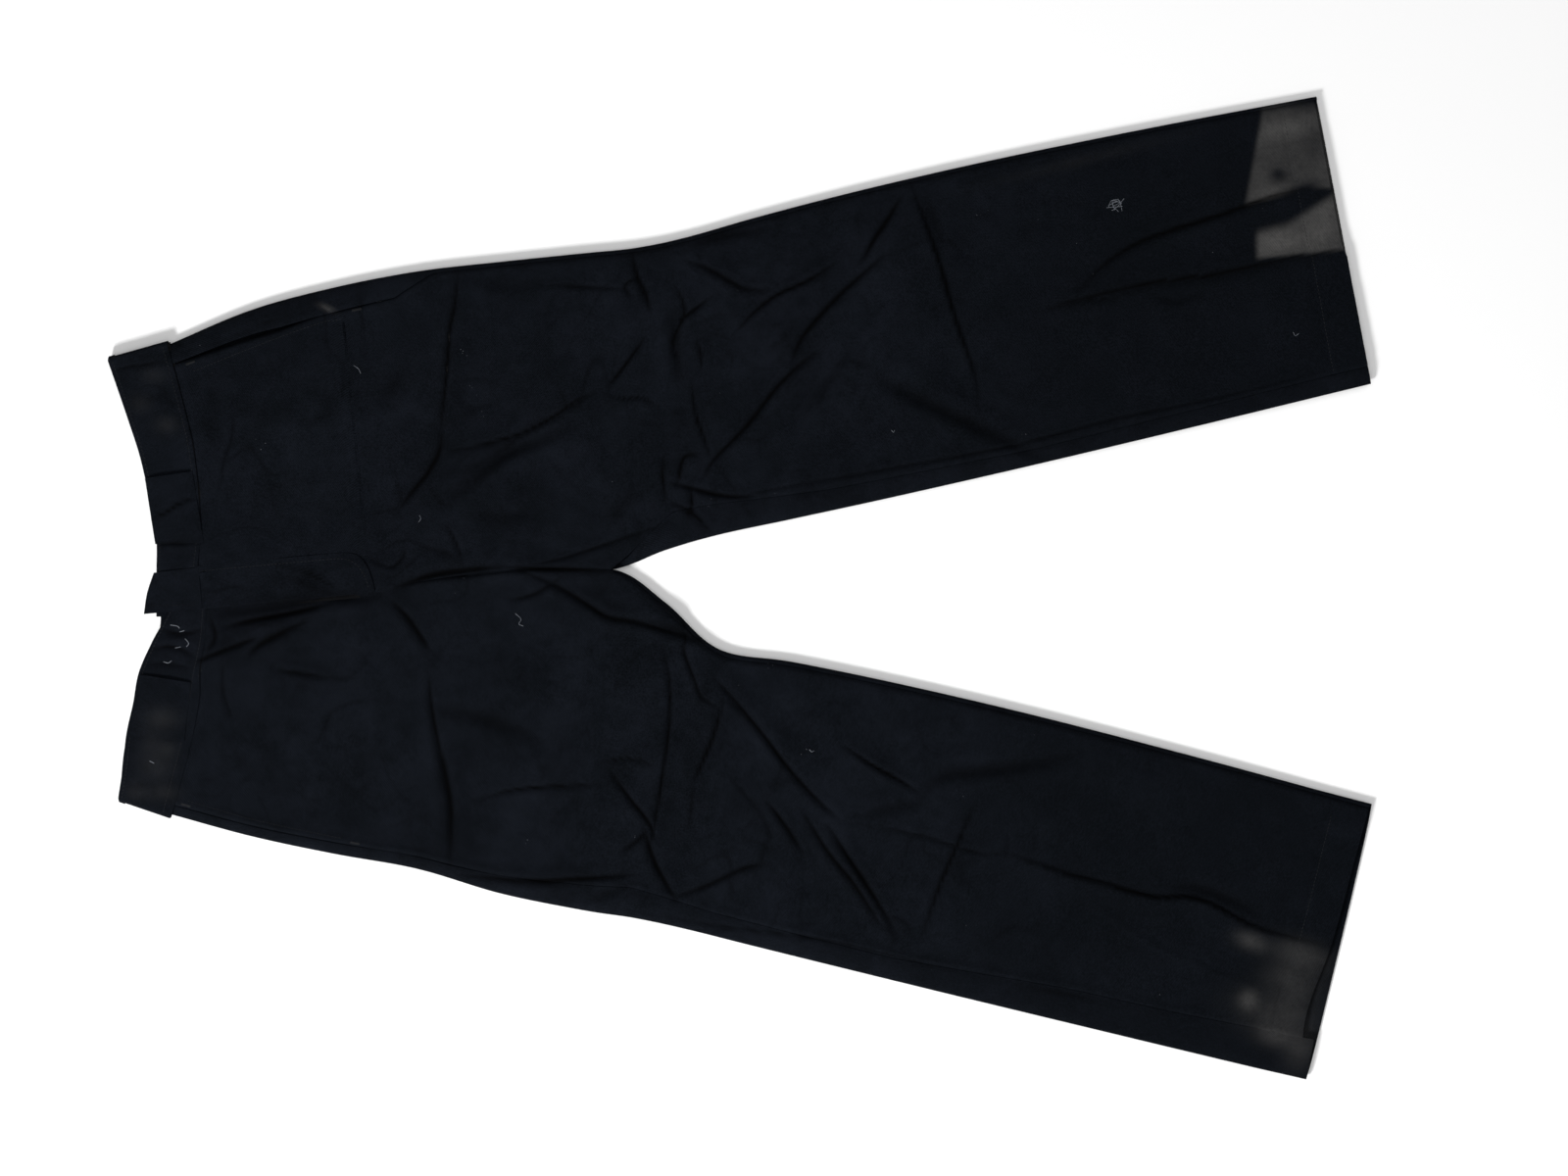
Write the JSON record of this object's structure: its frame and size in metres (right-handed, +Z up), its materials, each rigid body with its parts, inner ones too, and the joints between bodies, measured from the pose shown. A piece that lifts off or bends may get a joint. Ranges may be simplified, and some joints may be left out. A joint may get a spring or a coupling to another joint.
{
  "type": "work trousers",
  "caption": "Unlined twill work trousers laid flat, with zip fly, waistband, tunnel belt loops, pockets and hemmed legs.",
  "frame": {"origin": "under the middle of the laid-out outline, on the surface the trousers lie on", "axes": "+X from the waist to the hems, +Y to the wearer's left, +Z up, out of the front"},
  "size_m": [1.0956, 0.8542, 0.0164],
  "materials": {
    "shell_twill": "black twill, matt, dusty at hems and waistband",
    "pocketing": "plain-weave pocketing, matt",
    "stiffener": "stiff interlining, matt",
    "zip_tape": "woven zip tape",
    "zip_metal": "aged brass, satin",
    "hook_metal": "nickel-plated, satin",
    "button_plastic": "dark four-hole button, satin",
    "thread": "polyester sewing thread"
  },
  "bodies": {
    "trousers": {"back_belt_loop_centre": "shell_twill", "back_belt_loop_left": "shell_twill", "back_belt_loop_right": "shell_twill", "back_panel_left": "shell_twill", "back_panel_right": "shell_twill", "back_pocket_bag_left": "pocketing", "back_pocket_bag_right": "pocketing", "back_pocket_buttons": "button_plastic", "back_pocket_welt_left": "shell_twill", "back_pocket_welt_right": "shell_twill", "bar_backing_plate": "hook_metal", "bar_tacks": "thread", "fly_shield": "shell_twill", "front_belt_loop_left": "shell_twill", "front_belt_loop_right": "shell_twill", "front_panel_left": "shell_twill", "front_panel_right": "shell_twill", "front_rise_seam": "shell_twill", "hem_back_left": "shell_twill", "hem_back_right": "shell_twill", "hem_front_left": "shell_twill", "hem_front_right": "shell_twill", "inseam_left": "shell_twill", "inseam_right": "shell_twill", "outseam_left": "shell_twill", "outseam_right": "shell_twill", "seat_seam": "shell_twill", "side_pocket_bag_back_left": "pocketing", "side_pocket_bag_back_right": "pocketing", "side_pocket_bag_front_left": "pocketing", "side_pocket_bag_front_right": "pocketing", "side_pocket_bag_seam_left": "pocketing", "side_pocket_bag_seam_right": "pocketing", "trouser_bar": "hook_metal", "waistband_back": "shell_twill", "waistband_front_left": "shell_twill", "waistband_front_right": "shell_twill", "waistband_lining_back": "pocketing", "waistband_lining_front_left": "pocketing", "waistband_lining_front_right": "pocketing", "waistband_side_seams": "shell_twill", "waistband_stiffener_back": "stiffener", "waistband_stiffener_front_left": "stiffener", "waistband_stiffener_front_right": "stiffener", "zip_bottom_stop": "zip_metal", "zip_tape_right": "zip_tape", "zip_teeth_right": "zip_metal", "zip_top_stop_right": "zip_metal"},
    "fly_flap": {"fly_facing": "pocketing", "fly_flap": "shell_twill", "hook_backing_plate": "hook_metal", "trouser_hook": "hook_metal", "waistband_tab": "shell_twill", "waistband_tab_lining": "pocketing", "zip_tape_left": "zip_tape", "zip_teeth_left": "zip_metal", "zip_top_stop_left": "zip_metal"},
    "zip_slider": {"zip_slider": "zip_metal"},
    "zip_pull": {"zip_pull": "zip_metal"}
  },
  "joints": [
    {"name": "fly_open", "type": "hinge", "parent": "trousers", "child": "fly_flap", "pos_m": [-0.47121, 0.01796, 0.0149], "axis": [-0.9955, -0.0948, 0], "range_deg": [0, 150]},
    {"name": "zip_run", "type": "slide", "parent": "trousers", "child": "zip_slider", "axis": [-0.9955, -0.0948, 0], "range_m": [0, 0.112]},
    {"name": "zip_pull_swing", "type": "hinge", "parent": "zip_slider", "child": "zip_pull", "pos_m": [-0.3427, 0.00709, 0.00855], "axis": [0.0948, -0.9955, 0], "range_deg": [0, 9]}
  ]
}
